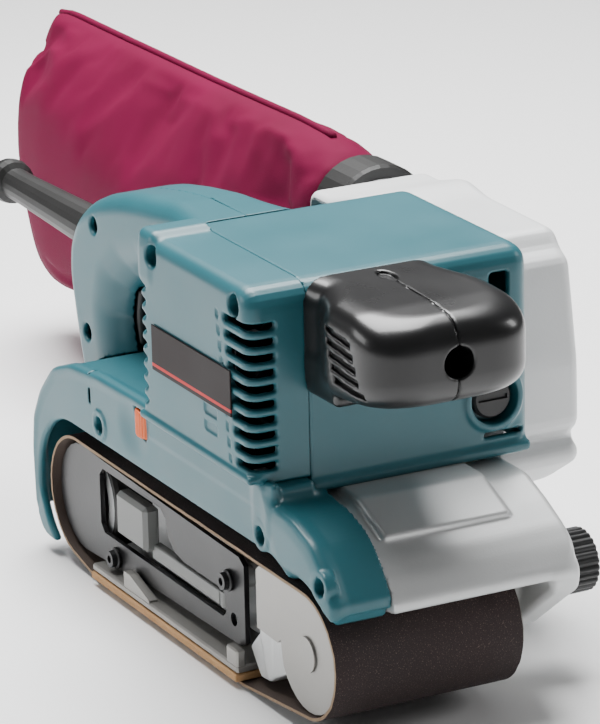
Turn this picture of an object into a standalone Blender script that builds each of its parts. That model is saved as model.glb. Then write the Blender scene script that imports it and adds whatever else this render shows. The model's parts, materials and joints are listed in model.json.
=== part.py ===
"""Handheld belt sander, built as an assembly of separate sub-parts.

Origin: centre of the flat sole face. +X points forward, to the front roller and the front grip, +Y to
the drive side with its cover and dust bag, +Z up. Dimensions are in millimetres and MM makes them metres.
"""
from math import acos, atan2, cos, degrees, hypot, pi, radians, sin

import bmesh
import bpy
from mathutils import Matrix, Vector

MM = 0.001
GAP = 0.3  # clearance between pieces that touch

# Driving dimensions
BELT_WIDTH = 76.0
BELT_THICK = 1.2
SOLE_LENGTH = 126.0
FRONT_AXLE = (112.0, 29.3)  # X, Z of the tension roller
REAR_AXLE = (-78.0, 28.8)  # X, Z of the drive roller
FRONT_LOOP_R = 23.9  # outside of the belt on the tension roller
REAR_LOOP_R = 25.0
MOTOR_AXIS = (46.0, 102.0)  # X, Z, the motor lies across the machine
HOUSING_X = (-2.0, 88.0)
HOUSING_TOP = 158.0
HOUSING_LEFT = -45.0
HOUSING_SPLIT = -21.0
HOUSING_RIGHT = 70.0
GUARD_LEFT = -40.0
WALL = 3.0
PULLEY_SMALL_R = 7.5
PULLEY_LARGE_R = 19.5
COVER_RIGHT = 105.0
SPOUT = (88.0, 128.0)  # Y, Z of the dust spout, which points backwards
BAG_BACK = -379.0
KNOB_AXIS = (104.0, 40.0)
DIAL_AXIS = (-13.0, -32.2)  # X, Y of the speed dial, a wheel lying flat
LEVER_PIN = (40.0, -31.0)  # X, Y of the upright pin of the tension lever

FINISHES = {
    "teal plastic": ((0.06, 0.22, 0.25), 0.4, 0.0),
    "silver casting": ((0.62, 0.64, 0.63), 0.4, 0.6),
    "silver plastic": ((0.72, 0.73, 0.72), 0.45, 0.2),
    "black plastic": ((0.02, 0.02, 0.022), 0.3, 0.0),
    "black rubber": ((0.018, 0.018, 0.018), 0.7, 0.0),
    "black steel": ((0.035, 0.037, 0.042), 0.45, 0.6),
    "grey steel": ((0.42, 0.41, 0.39), 0.4, 0.9),
    "bright steel": ((0.6, 0.6, 0.6), 0.25, 1.0),
    "copper": ((0.72, 0.38, 0.2), 0.35, 1.0),
    "laminated iron": ((0.2, 0.2, 0.21), 0.5, 0.8),
    "carbon": ((0.03, 0.03, 0.03), 0.8, 0.0),
    "brass": ((0.7, 0.52, 0.22), 0.35, 1.0),
    "cork": ((0.5, 0.3, 0.14), 0.9, 0.0),
    "abrasive cloth": ((0.07, 0.04, 0.04), 0.95, 0.0),
    "bag cloth": ((0.25, 0.02, 0.07), 0.9, 0.0),
    "orange plastic": ((0.85, 0.18, 0.05), 0.4, 0.0),
    "grey plastic": ((0.2, 0.21, 0.2), 0.5, 0.0),
    "fibre board": ((0.05, 0.15, 0.07), 0.6, 0.0),
}

# Local Z is the length of a turned or extruded shape, and this turns it to each axis.
ALONG = {
    "x": Matrix.Rotation(radians(90), 4, "Y"),
    "y": Matrix.Rotation(radians(-90), 4, "X"),
    "z": Matrix.Identity(4),
}
# A flat outline is drawn in local X and Y, which these turn to the plane across each axis.
ACROSS = {
    "x": Matrix.Rotation(radians(90), 4, "Z") @ Matrix.Rotation(radians(90), 4, "X"),
    "y": Matrix.Rotation(radians(90), 4, "X"),
    "z": Matrix.Identity(4),
}

for old in list(bpy.data.objects):
    bpy.data.objects.remove(old, do_unlink=True)
parts = bpy.data.collections.new("belt_sander")
tools = bpy.data.collections.new("cutters")
bpy.context.scene.collection.children.link(parts)
bpy.context.scene.collection.children.link(tools)


def new_material(name, finish):
    colour, roughness, metallic = FINISHES[finish]
    material = bpy.data.materials.new(name)
    material.use_nodes = True
    shader = material.node_tree.nodes["Principled BSDF"]
    shader.inputs["Base Color"].default_value = (*colour, 1.0)
    shader.inputs["Roughness"].default_value = roughness
    shader.inputs["Metallic"].default_value = metallic
    return material


def keep(obj, finish):
    """Makes obj a part: it goes in the object's collection and gets its own material."""
    for group in list(obj.users_collection):
        group.objects.unlink(obj)
    parts.objects.link(obj)
    obj.data.materials.clear()
    obj.data.materials.append(new_material(f"{obj.name}_{finish.replace(' ', '_')}", finish))
    obj.data.shade_smooth()
    obj.data.set_sharp_from_angle(angle=radians(35))
    return obj


def helper(obj):
    """Makes obj a cutter or a joined shape: it is not a part of its own."""
    for group in list(obj.users_collection):
        group.objects.unlink(obj)
    tools.objects.link(obj)
    obj.hide_render = True
    obj.display_type = "WIRE"
    return obj


def mesh_object(name, bm):
    bmesh.ops.recalc_face_normals(bm, faces=bm.faces)
    mesh = bpy.data.meshes.new(name)
    bm.to_mesh(mesh)
    bm.free()
    obj = bpy.data.objects.new(name, mesh)
    bpy.context.scene.collection.objects.link(obj)
    return obj


def rounded(obj, width, segments=1, angle=40):
    bevel = obj.modifiers.new("rounded edges", "BEVEL")
    bevel.width = width * MM
    bevel.segments = segments
    bevel.limit_method = "ANGLE"
    bevel.angle_limit = radians(angle)
    return obj


def box(name, x, y, z, edge=0.0):
    """A block between the given (low, high) of each axis."""
    bm = bmesh.new()
    bmesh.ops.create_cube(bm, size=1.0)
    for vert in bm.verts:
        for axis, (low, high) in enumerate((x, y, z)):
            vert.co[axis] = (low + (high - low) * (vert.co[axis] + 0.5)) * MM
    obj = mesh_object(name, bm)
    return rounded(obj, edge) if edge else obj


def rod(name, axis, centre, radius, span, sides=24):
    """A cylinder from span[0] to span[1] along axis. centre is in the other two axes."""
    bm = bmesh.new()
    bmesh.ops.create_cone(
        bm,
        cap_ends=True,
        segments=sides,
        radius1=radius * MM,
        radius2=radius * MM,
        depth=(span[1] - span[0]) * MM,
    )
    obj = mesh_object(name, bm)
    place(obj, axis, centre, (span[0] + span[1]) / 2)
    return obj


def place(obj, axis, centre, station):
    """Turns local Z to axis and moves the shape to its station along it."""
    spot = {"x": (station, *centre), "y": (centre[0], station, centre[1]), "z": (*centre, station)}[axis]
    obj.matrix_world = Matrix.Translation(Vector(spot) * MM) @ ALONG[axis]


def turned(name, axis, centre, profile, steps=24):
    """A turned shape. profile is (radius, station) from the far end down its outer side, then back up."""
    mesh = bpy.data.meshes.new(name)
    points = [(radius * MM, 0.0, station * MM) for radius, station in profile]
    closed = profile[0][0] > 0 and profile[-1][0] > 0
    edges = [(i, i + 1) for i in range(len(points) - 1)]
    if closed:
        edges.append((len(points) - 1, 0))
    mesh.from_pydata(points, edges, [])
    obj = bpy.data.objects.new(name, mesh)
    bpy.context.scene.collection.objects.link(obj)
    screw = obj.modifiers.new("turned", "SCREW")
    screw.steps = steps
    screw.render_steps = steps
    screw.use_merge_vertices = True
    screw.merge_threshold = 0.00001
    place(obj, axis, centre, 0.0)
    return obj


def flat(name, axis, outline, span, holes=()):
    """A flat outline, with holes, extruded from span[0] to span[1] along axis."""
    curve = bpy.data.curves.new(name, "CURVE")
    curve.dimensions = "2D"
    curve.fill_mode = "BOTH"
    curve.extrude = (span[1] - span[0]) / 2 * MM
    for loop in (outline, *holes):
        spline = curve.splines.new("POLY")
        spline.points.add(len(loop) - 1)
        for point, (u, v) in zip(spline.points, loop):
            point.co = (u * MM, v * MM, 0.0, 1.0)
        spline.use_cyclic_u = True
    guide = bpy.data.objects.new(name + "_outline", curve)
    bpy.context.scene.collection.objects.link(guide)
    bpy.context.view_layer.update()
    graph = bpy.context.evaluated_depsgraph_get()
    mesh = bpy.data.meshes.new_from_object(guide.evaluated_get(graph))
    bpy.data.objects.remove(guide)
    bm = bmesh.new()
    bm.from_mesh(mesh)
    bmesh.ops.remove_doubles(bm, verts=bm.verts, dist=0.00001)
    obj = mesh_object(name, bm)
    middle = (span[0] + span[1]) / 2 * MM
    shift = {"x": (middle, 0, 0), "y": (0, middle, 0), "z": (0, 0, middle)}[axis]
    obj.matrix_world = Matrix.Translation(shift) @ ACROSS[axis]
    return obj


def arc(centre, radius, start, end, steps):
    """Points on a circle from the start angle to the end angle, in degrees."""
    turn = [radians(start + (end - start) * i / steps) for i in range(steps + 1)]
    return [(centre[0] + radius * cos(t), centre[1] + radius * sin(t)) for t in turn]


def loft(name, sections, sides=20, power=2.6):
    """A skin over rounded sections. Each is (centre, half side vector, half up vector)."""
    bm = bmesh.new()
    rings = []
    for centre, across, up in sections:
        ring = []
        for i in range(sides):
            t = 2 * pi * i / sides
            a = abs(cos(t)) ** (2 / power) * (1 if cos(t) >= 0 else -1)
            b = abs(sin(t)) ** (2 / power) * (1 if sin(t) >= 0 else -1)
            ring.append(bm.verts.new((Vector(centre) + Vector(across) * a + Vector(up) * b) * MM))
        rings.append(ring)
    for first, second in zip(rings, rings[1:]):
        for i in range(sides):
            j = (i + 1) % sides
            bm.faces.new((first[i], first[j], second[j], second[i]))
    bm.faces.new(rings[0][::-1])
    bm.faces.new(rings[-1])
    return mesh_object(name, bm)


def boolean(obj, others, operation):
    for other in others:
        modifier = obj.modifiers.new(f"{operation.lower()} {other.name}", "BOOLEAN")
        modifier.operation = operation
        modifier.object = helper(other)
    return obj


def cut(obj, *others):
    return boolean(obj, others, "DIFFERENCE")


def join(obj, *others):
    return boolean(obj, others, "UNION")


def common(obj, *others):
    return boolean(obj, others, "INTERSECT")


def on_axis(name, spot, *objects):
    """Parents objects to an empty on their joint's axis."""
    empty = bpy.data.objects.new(name, None)
    empty.location = Vector(spot) * MM
    parts.objects.link(empty)
    bpy.context.view_layer.update()
    for obj in objects:
        world = obj.matrix_world.copy()
        obj.parent = empty
        obj.matrix_parent_inverse = empty.matrix_world.inverted()
        obj.matrix_world = world


def tangent_angle(centre, radius, point, side):
    """The angle on a circle where a straight run from point touches it."""
    dx, dz = point[0] - centre[0], point[1] - centre[1]
    return degrees(atan2(dz, dx) + side * acos(radius / hypot(dx, dz)))


def belt_loop(inset):
    """The sanding belt's side view, moved in by inset: two rollers and the flat sole."""
    half = SOLE_LENGTH / 2
    front = tangent_angle(FRONT_AXLE, FRONT_LOOP_R - inset, (half, inset), 1)
    rear = tangent_angle(REAR_AXLE, REAR_LOOP_R - inset, (-half, inset), -1)
    return (
        arc(REAR_AXLE, REAR_LOOP_R - inset, 360 + rear, 90, 16)
        + arc(FRONT_AXLE, FRONT_LOOP_R - inset, 90, front, 16)
        + [(half, inset), (-half, inset)]
    )


def toothed_disc(name, centre, radius, teeth, span, bore):
    """A pulley with square teeth on its rim."""
    outline = []
    for tooth in range(teeth):
        for part, level in ((0.0, 0.0), (0.3, 0.0), (0.5, -1.2), (0.8, -1.2)):
            t = 2 * pi * (tooth + part) / teeth
            outline.append((centre[0] + (radius + level) * cos(t), centre[1] + (radius + level) * sin(t)))
    hole = arc(centre, bore, 0, 342, 19)
    return flat(name, "y", outline, span, [hole])


def bearing(name, centre, outer, bore, span):
    """A sealed ball bearing as one ring."""
    low, high = span
    return keep(
        turned(name, "y", centre, [(outer, high), (outer, low), (bore, low), (bore, high)]),
        "bright steel"
    )


def belt_set():
    half = BELT_WIDTH / 2
    belt = flat("sanding_belt", "y", belt_loop(0), (-half, half), [belt_loop(BELT_THICK)])
    keep(belt, "abrasive cloth")
    pad_x = (-SOLE_LENGTH / 2 + 1, SOLE_LENGTH / 2 - 1)
    cork = box("cork_pad", pad_x, (-40.5, 37.0), (BELT_THICK + GAP, 4.4), 0.4)
    keep(cork, "cork")
    shoe = box("shoe_plate", pad_x, (-39.8, 37.0), (4.4 + GAP, 7.6), 0.6)
    hook_outline = [(-34, 6), (-34, 13.4), (-29, 13.4), (-12, 8.4), (-12, 6)]
    hook = flat("shoe_hook", "y", hook_outline, (-39.6, -36.0))
    nose = box("shoe_nose", (53, 61.8), (-39.6, -36.0), (6, 13.6), 0.6)
    keep(join(shoe, hook, nose), "grey steel")


def frame_casting():
    """The die-cast frame: core inside the belt loop, drive-side wall, motor deck and front hood."""
    frame = box("frame", (-48, 60), (-26, 44), (14, 47), 1.5)
    wall_outline = (
        arc(REAR_AXLE, 26.5, 262, 118, 10)
        + [(-60, 66), (92, 66), (112, 60), (104, 52), (94, 30), (84, 14), (70, 10)]
    )
    wall = flat("frame_wall", "y", wall_outline, (41, 49.5))
    deck = box("frame_deck", (-50, 94), (-36, 49), (58, 66), 1.0)
    hood_outline = [
        (76, 60),
        (76, 77.5),
        (102, 77),
        (116, 71.5),
        (128, 65.5),
        (135, 60),
        (139.6, 53),
        (139.6, 49),
    ] + arc(FRONT_AXLE, 27.0, 46, 108, 8)
    hood = flat("frame_hood", "y", hood_outline, (-16.0, 61))
    corner = [(130, 74), (142, 74), (142, 51.4)] + arc((130, 51.4), 9.6, 0, 90, 6)
    cut(hood, flat("hood_corner", "z", corner, (30, 90)))
    pad = box("frame_pad", (74, 118), (-11, 44), (66, 79.5), 1.5)
    cut(pad, flat("pad_slope", "y", [(102, 78.6), (124, 68), (124, 84), (98, 84)], (-20, 80)))
    boss = rod("knob_boss", "y", KNOB_AXIS, 11.0, (46, 71.4))
    rib = box("knob_rib", (92, 112), (52, 60.5), (44, 62))
    flange_outline = [(90, 60), (132, 56), (137.5, 50), (137, 44), (106, 19.5), (98, 19.5), (90, 30)]
    flange = flat("front_flange", "y", flange_outline, (48.5, 60.7))
    block_outline = [(62, 15), (72, 25), (80.5, 25), (80.5, 7), (76, 5.8), (70, 5.2)]
    block = flat("frame_block", "y", block_outline, (-34.2, 37))
    tongue = flat("block_tongue", "y", [(70, 25), (92, 25), (96, 16), (76, 5.8)], (-34.2, -31.4))
    lug = box("block_lug", (44, 74), (-22, 36), (15, 23))
    spacers = [
        rod("spacer_rear", "y", (-49, 13), 4.5, (-32.6, -20)),
        rod("spacer_front", "y", (48, 36), 4.0, (-32.6, -20)),
    ]
    foot = box("spacer_foot", (-54, -42), (-26, 0), (8, 20))
    pins = [
        box("lever_lug_low", (34, 46), (-30.5, -22), (15, 18.5)),
        box("lever_lug_high", (34, 46), (-30.5, -22), (31.5, 35)),
    ]
    join(frame, wall, deck, hood, pad, rib, flange, boss, lug, block, tongue, foot, *spacers, *pins)
    cut(
        frame,
        rod("drive_bearing_seat", "y", REAR_AXLE, 14 + GAP, (38, 60)),
        rod("guide_bore", "x", (5, 34), 4.4, (10, 64)),
        rod("spring_pocket", "x", (5, 34), 9.0, (24, 64)),
        rod("screw_bore", "y", KNOB_AXIS, 3.0 + GAP, (30, 80)),
        rod("lever_pin_bore", "z", LEVER_PIN, 1.5 + GAP, (13, 40), 16),
        box("lever_pocket", (-64, 33), (-40, -20), (18, 47.5)),
        rod("plate_screw_bore_rear", "y", (-49, 13), 1.8, (-40, -18), 16),
        rod("plate_screw_bore_front", "y", (48, 36), 1.8, (-40, -18), 16),
        box("roller_bay", (66, 96), (-34, 40), (25.5, 52)),
    )
    keep(frame, "silver casting")


def side_plate():
    """The pressed plate over the belt's inside, with the lever's window and slot."""
    outline = (
        arc(REAR_AXLE, 21.5, 270, 90, 12)
        + [(-60, 49.5), (56, 47.5), (60, 45), (60, 15), (57, 13), (-20, 11), (-44, 8.6), (-60, 8.3)]
    )
    window = [
        (-63, 23),
        (-63, 43),
        (-60, 46),
        (-9, 46),
        (-5, 43),
        (-4, 37),
        (2, 32),
        (10, 30.5),
        (42, 30.5),
        (44.8, 28),
        (44.8, 22),
        (42, 19.8),
        (-60, 19.8),
    ]
    plate = flat("side_plate", "y", outline, (-35, -33), [window])
    cut(
        plate,
        rod("plate_hole_rear", "y", (-49, 13), 2.4, (-40, -30), 16),
        rod("plate_hole_front", "y", (48, 36), 2.4, (-40, -30), 16),
        rod("plate_hole_spare", "y", (51, 21.5), 2.6, (-40, -30), 16),
    )
    keep(plate, "black steel")
    for name, spot in (("side_plate_screw_rear", (-49, 13)), ("side_plate_screw_front", (48, 36))):
        profile = [(1.5, -22), (1.5, -35.3), (4.2, -35.3), (4.2, -36.2), (3.4, -36.6), (3.2, -38.6)]
        profile += [(1.6, -38.6), (1.4, -36.9), (0, -36.9)]
        screw = turned(name, "y", spot, [(0, -22), *profile], 20)
        keep(screw, "black steel")


def tension_lever():
    """The lever that swings outwards on an upright pin and pulls the front roller back."""
    lever = box("tension_lever", (-18.5, 38), (-34.4, -30.6), (22.5, 28.5), 0.4)
    join(
        lever,
        box("lever_pad", (-42.5, -17), (-38.2, -31.4), (25.5, 43.5), 1.6),
        rod("lever_eye", "z", LEVER_PIN, 3.5, (22.5, 28.5), 24),
    )
    cut(lever, rod("lever_eye_bore", "z", LEVER_PIN, 1.5 + GAP, (20, 31), 16))
    keep(lever, "grey plastic")
    on_axis("tension_lever_axis", (*LEVER_PIN, 25), lever)
    keep(rod("lever_pin", "z", LEVER_PIN, 1.5, (15.2, 34.8), 16), "bright steel")


def roller_bracket():
    """The sliding fork that holds the front axle, with its guide rod."""
    cheek_outline = [(72.5, 26.1), (72.5, 48.5), (75, 50.6)] + arc(FRONT_AXLE, 22.0, 88, -150, 20)
    cheek_outline += [(91.0, 27.6), (88.5, 25.6)]
    bracket = flat("roller_bracket", "y", cheek_outline, (-36.4, -34.6))
    right = flat("bracket_right", "y", cheek_outline, (37.2, 39.2))
    web = box("bracket_web", (72.5, 80), (-35.2, 38), (28, 48))
    guide = rod("bracket_guide", "x", (5, 34), 4.0, (22, 74))
    join(bracket, web, right, guide)
    cut(bracket, rod("axle_hole", "y", FRONT_AXLE, 5.0 + GAP, (-45, 45)))
    keep(bracket, "grey steel")
    axle = turned(
        "front_axle",
        "y",
        FRONT_AXLE,
        [(0, 40.2), (5, 40.2), (5, -36.7), (6.6, -36.7), (6.6, -37.3), (0, -37.3)],
        24,
    )
    keep(axle, "bright steel")
    coil = bpy.data.curves.new("tension_spring", "CURVE")
    coil.dimensions = "3D"
    coil.bevel_depth = 0.9 * MM
    coil.bevel_resolution = 0
    coil.use_fill_caps = True
    spline = coil.splines.new("POLY")
    turns, per_turn = 5, 10
    spline.points.add(turns * per_turn)
    for i, point in enumerate(spline.points):
        t = 2 * pi * i / per_turn
        along = 35 + (71 - 35) * i / (turns * per_turn)
        point.co = (along * MM, (5 + 6.4 * cos(t)) * MM, (34 + 6.4 * sin(t)) * MM, 1.0)
    spring = bpy.data.objects.new("tension_spring", coil)
    parts.objects.link(spring)
    bpy.context.view_layer.update()
    graph = bpy.context.evaluated_depsgraph_get()
    mesh = bpy.data.meshes.new_from_object(spring.evaluated_get(graph))
    bpy.data.objects.remove(spring)
    bm = bmesh.new()
    bm.from_mesh(mesh)
    bmesh.ops.remove_doubles(bm, verts=bm.verts, dist=0.00001)
    spring = keep(mesh_object("tension_spring", bm), "bright steel")
    on_axis("roller_bracket_axis", (FRONT_AXLE[0], 0, FRONT_AXLE[1]), bracket, axle, spring)


def rollers():
    tube = FRONT_LOOP_R - BELT_THICK - GAP
    front = turned(
        "front_roller",
        "y",
        FRONT_AXLE,
        [(11 + GAP, 36.6), (tube - 1.0, 36.6), (tube, 33), (tube, -28), (tube - 1.0, -31), (11 + GAP, -31)],
        32,
    )
    keep(front, "bright steel")
    left = bearing("front_bearing_left", FRONT_AXLE, 11, 5 + GAP, (-30.5, -22.5))
    right = bearing("front_bearing_right", FRONT_AXLE, 11, 5 + GAP, (27.5, 35.5))
    on_axis("front_roller_axis", (FRONT_AXLE[0], 0, FRONT_AXLE[1]), front, left, right)

    rubber = REAR_LOOP_R - BELT_THICK - GAP
    sleeve = turned(
        "drive_roller_sleeve",
        "y",
        REAR_AXLE,
        [
            (20 + GAP, 37.4), (rubber - 0.8, 37.4), (rubber, 36), (rubber, -30), (rubber - 0.8, -31.6),
            (20 + GAP, -31.6)
        ],
        32,
    )
    keep(sleeve, "black rubber")
    core = turned(
        "drive_roller_core",
        "y",
        REAR_AXLE,
        [(7 + GAP, 37), (20, 37), (20, -31.4), (15, -31.4), (15, -10), (7 + GAP, -10)],
        32,
    )
    keep(core, "silver casting")
    shaft = turned(
        "drive_shaft",
        "y",
        REAR_AXLE,
        [(0, 100.8), (5, 100.8), (5, 91), (6, 91), (6, 54), (7, 54), (7, -12), (0, -12)],
        24,
    )
    keep(shaft, "bright steel")
    pulley = toothed_disc("driven_pulley", REAR_AXLE, PULLEY_LARGE_R, 24, (74, 88), 6 + GAP)
    keep(pulley, "grey steel")
    on_axis("drive_roller_axis", (REAR_AXLE[0], 0, REAR_AXLE[1]), sleeve, core, shaft, pulley)
    bearing("drive_bearing_inner", REAR_AXLE, 14, 7 + GAP, (41, 49.5))
    bearing("drive_bearing_outer", REAR_AXLE, 11, 5 + GAP, (93, 101))


def motor():
    shaft = turned(
        "motor_shaft",
        "y",
        MOTOR_AXIS,
        [(0, 92), (4, 92), (4, 61), (5, 61), (5, -33), (4, -33), (4, -41), (0, -41)],
        24,
    )
    keep(shaft, "bright steel")
    core = turned(
        "armature_core", "y", MOTOR_AXIS,
        [(5 + GAP, 36), (12, 36), (16, 33), (16, -7), (12, -10), (5 + GAP, -10)]
    )
    keep(core, "laminated iron")
    commutator = turned(
        "commutator", "y", MOTOR_AXIS, [(5 + GAP, 60), (11, 60), (11, 46), (13, 44), (5 + GAP, 44)]
    )
    keep(commutator, "copper")
    fan = turned(
        "cooling_fan", "y", MOTOR_AXIS,
        [(5 + GAP, -16), (26, -16), (26, -18), (9, -18), (9, -30), (5 + GAP, -30)]
    )
    blades = []
    for i in range(8):
        blade = box(f"fan_blade_{i}", (8, 25.5), (-29, -17), (-0.8, 0.8))
        spin = Matrix.Rotation(2 * pi * i / 8, 4, "Y")
        blade.matrix_world = Matrix.Translation(Vector((MOTOR_AXIS[0], 0, MOTOR_AXIS[1])) * MM) @ spin
        blades.append(blade)
    join(fan, *blades)
    keep(fan, "black plastic")
    pulley = toothed_disc("motor_pulley", MOTOR_AXIS, PULLEY_SMALL_R, 12, (74, 88), 4 + GAP)
    keep(pulley, "grey steel")
    on_axis("motor_axis", (MOTOR_AXIS[0], 0, MOTOR_AXIS[1]), shaft, core, commutator, fan, pulley)

    keep(
        turned("stator", "y", MOTOR_AXIS, [(17, 38), (25, 38), (29, 34), (29, -8), (25, -12), (17, -12)]),
        "laminated iron"
    )
    bearing("motor_bearing_left", MOTOR_AXIS, 10, 4 + GAP, (-41, -34))
    bearing("motor_bearing_right", MOTOR_AXIS, 11, 4 + GAP, (61.6, 68))
    for name, side in (("front", 1), ("rear", -1)):
        far = [MOTOR_AXIS[0] + side * reach for reach in (13, 37)]
        holder = box(f"brush_holder_{name}", sorted(far), (48, 60), (95, 109), 0.6)
        cut(
            holder,
            box(f"brush_slot_{name}", sorted((far[0] - side, far[1] + side)), (50.5, 57.5), (97, 107))
        )
        keep(holder, "brass")
        reach = sorted((MOTOR_AXIS[0] + side * 11.4, MOTOR_AXIS[0] + side * 30))
        keep(box(f"carbon_brush_{name}", reach, (50.9, 57.1), (97.4, 106.6), 0.3), "carbon")
    cap = turned("brush_cap", "x", (54, 102), [(0, 87.4), (7, 87.4), (8, 86.4), (8, 84.4), (0, 84.4)], 28)
    cut(cap, box("brush_cap_slot", (86.4, 89), (48, 60), (101, 103)))
    keep(cap, "black plastic")

    toothed = flat("toothed_belt", "y", pulley_loop(2.4), (75, 87), [pulley_loop(0.4)])
    keep(toothed, "black rubber")


def pulley_loop(grow):
    """Side view of a belt round both pulleys, grow outside their teeth."""
    dx, dz = MOTOR_AXIS[0] - REAR_AXLE[0], MOTOR_AXIS[1] - REAR_AXLE[1]
    lean = degrees(atan2(dz, dx))
    spread = degrees(acos((PULLEY_LARGE_R - PULLEY_SMALL_R) / hypot(dx, dz)))
    small = arc(MOTOR_AXIS, PULLEY_SMALL_R + grow, lean - spread, lean + spread, 12)
    return small + arc(REAR_AXLE, PULLEY_LARGE_R + grow, lean + spread, lean + 360 - spread, 20)


def motor_housing():
    """The casing round the motor: the main shell, and the cover on the open side with the vents."""
    x, top = HOUSING_X, HOUSING_TOP
    shell = box("motor_housing", x, (HOUSING_SPLIT, HOUSING_RIGHT), (80, top), 5)
    inner_x = (x[0] + WALL, x[1] - WALL)
    cut(
        shell,
        box("housing_hollow", inner_x, (HOUSING_SPLIT - 9, HOUSING_RIGHT - WALL), (70, top - WALL), 3)
    )
    seat = rod("housing_bearing_seat", "y", MOTOR_AXIS, 14, (61.5, 68))
    join(shell, seat)
    cut(
        shell,
        rod("housing_bearing_bore", "y", MOTOR_AXIS, 11 + GAP, (55, 68.2)),
        rod("housing_shaft_hole", "y", MOTOR_AXIS, 8, (60, 75)),
        rod("brush_cap_hole", "x", (54, 102), 8 + GAP, (80, 95)),
        box("front_window", (80, 95), (52, 61), (138, 149.5), 1.0),
        box("front_slot", (80, 95), (49, 65), (86.5, 89.5), 1.0),
    )
    keep(shell, "teal plastic")

    left = HOUSING_LEFT
    outline = [(x[0], 89), (x[0], 148), (8, top), (80, top), (x[1], 148), (x[1], 89)]
    cover = flat("housing_cover", "y", outline, (left, HOUSING_SPLIT - GAP))
    rounded(cover, 4, 1, 25)
    hollow = [
        (x[0] + WALL, 85), (x[0] + WALL, 146), (10, top - WALL), (78, top - WALL), (85, 146), (85, 85)
    ]
    cut(cover, flat("cover_hollow", "y", hollow, (left + WALL, HOUSING_SPLIT + 5)))
    spots = [(11, 151), (77, 150.5)]
    bosses = [
        rod(f"cover_boss_{i}", "y", spot, 6.2, (left + 1, HOUSING_SPLIT - 0.6)) for i,
        spot in enumerate(spots)
    ]
    join(cover, *bosses, rod("cover_bearing_seat", "y", MOTOR_AXIS, 13.5, (left + 1, -33.5)))
    cut(cover, rod("cover_bearing_bore", "y", MOTOR_AXIS, 10 + GAP, (-41.4, -30)))
    for i, spot in enumerate(spots):
        cut(cover, rod(f"cover_screw_hole_{i}", "y", spot, 3.9 + GAP, (left - 3, HOUSING_SPLIT + 3)))
    for i in range(9):
        height = 96.5 + i * 5.3
        cut(cover, box(f"corner_vent_{i}", (79, 92), (left - 3, -30), (height, height + 2.8)))
    for i in range(8):
        height = 98.5 + i * 5.3
        cut(cover, box(f"rear_vent_{i}", (-6, 5), (left - 3, -40), (height, height + 2.6)))
    keep(cover, "teal plastic")
    for name, spot in zip(("housing_screw_rear", "housing_screw_front"), spots):
        screw = turned(
            name, "y", spot, [(0, -24), (2.2, -24), (2.2, -35), (3.8, -35), (3.8, -39), (0, -39)], 20
        )
        keep(screw, "black steel")
    plate = box("label_plate", (11, 75), (left - 0.9, left - GAP), (108.5, 126), 0.25)
    keep(plate, "black plastic")


def belt_guard():
    """The lower casing: skirt beside the belt, hood over the rear roller, and front shoulder."""
    rear_top = [(-106, 66), (-94, 78), (-76, 84.5), (-50, 87), (-4, 88)]
    skirt = (
        [(-95, 5), (-107, 5.5), (-113, 12), (-115, 40), (-113, 54)]
        + rear_top
        + [(86, 86), (91, 80), (108, 78.5), (122, 74), (131, 66), (138, 56), (137.5, 50.5), (130, 51)]
        + arc(FRONT_AXLE, 31.5, 48, 86, 5)
        + arc(REAR_AXLE, 31.5, 92, 190, 12)
        + [(-103, 12)]
    )
    guard = flat("belt_guard", "y", skirt, (GUARD_LEFT, GUARD_LEFT + WALL))
    shell = [(-115, 30), (-115, 40), (-113, 54)] + rear_top + [(-4, 84.5), (-50, 83.8), (-75, 81)]
    shell += [(-92, 75), (-103, 64), (-109.5, 53), (-111.5, 40), (-111.5, 30)]
    roof = flat("guard_roof", "y", shell, (GUARD_LEFT + 1, 40))
    shoulder = [(92, 72), (92, 80), (108, 78.5), (122, 74), (131, 66), (138, 56), (137.5, 50.5)]
    shoulder += arc(FRONT_AXLE, 27.0, 40, 100, 8)
    front = flat("guard_shoulder", "y", shoulder, (GUARD_LEFT + 1, -16.4))
    ledge = box("guard_ledge", (0, 96), (GUARD_LEFT + 0.5, -36.4), (62, 87))
    join(guard, roof, front, ledge)
    cut(
        guard,
        box("dial_window", (-21.5, -4.5), (-45, -35), (73.5, 84.5)),
        box("deck_room", (-52, 95), (-36.3, 60), (57, 66.4)),
    )
    for i, spot in enumerate(((-50, 67.5), (85, 66), (128, 60.5))):
        cut(guard, rod(f"guard_hole_{i}", "y", spot, 3.2, (-45, -38.2), 20))
    keep(guard, "teal plastic")
    dial = turned(
        "speed_dial", "z", DIAL_AXIS,
        [(1.8, 84), (8.5, 84), (9, 83.5), (9, 74.5), (8.5, 74), (1.8, 74)], 28
    )
    keep(dial, "orange plastic")
    on_axis("speed_dial_axis", (*DIAL_AXIS, 79), dial)
    board = box("speed_control", (-46, -2.5), (-17, 20), (67, 72), 0.5)
    post = rod("dial_post", "z", DIAL_AXIS, 1.4, (68, 83.6), 16)
    arm = box("dial_arm", (-18, -8), (-33.5, -16), (67, 72))
    keep(join(board, arm, post), "fibre board")


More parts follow.
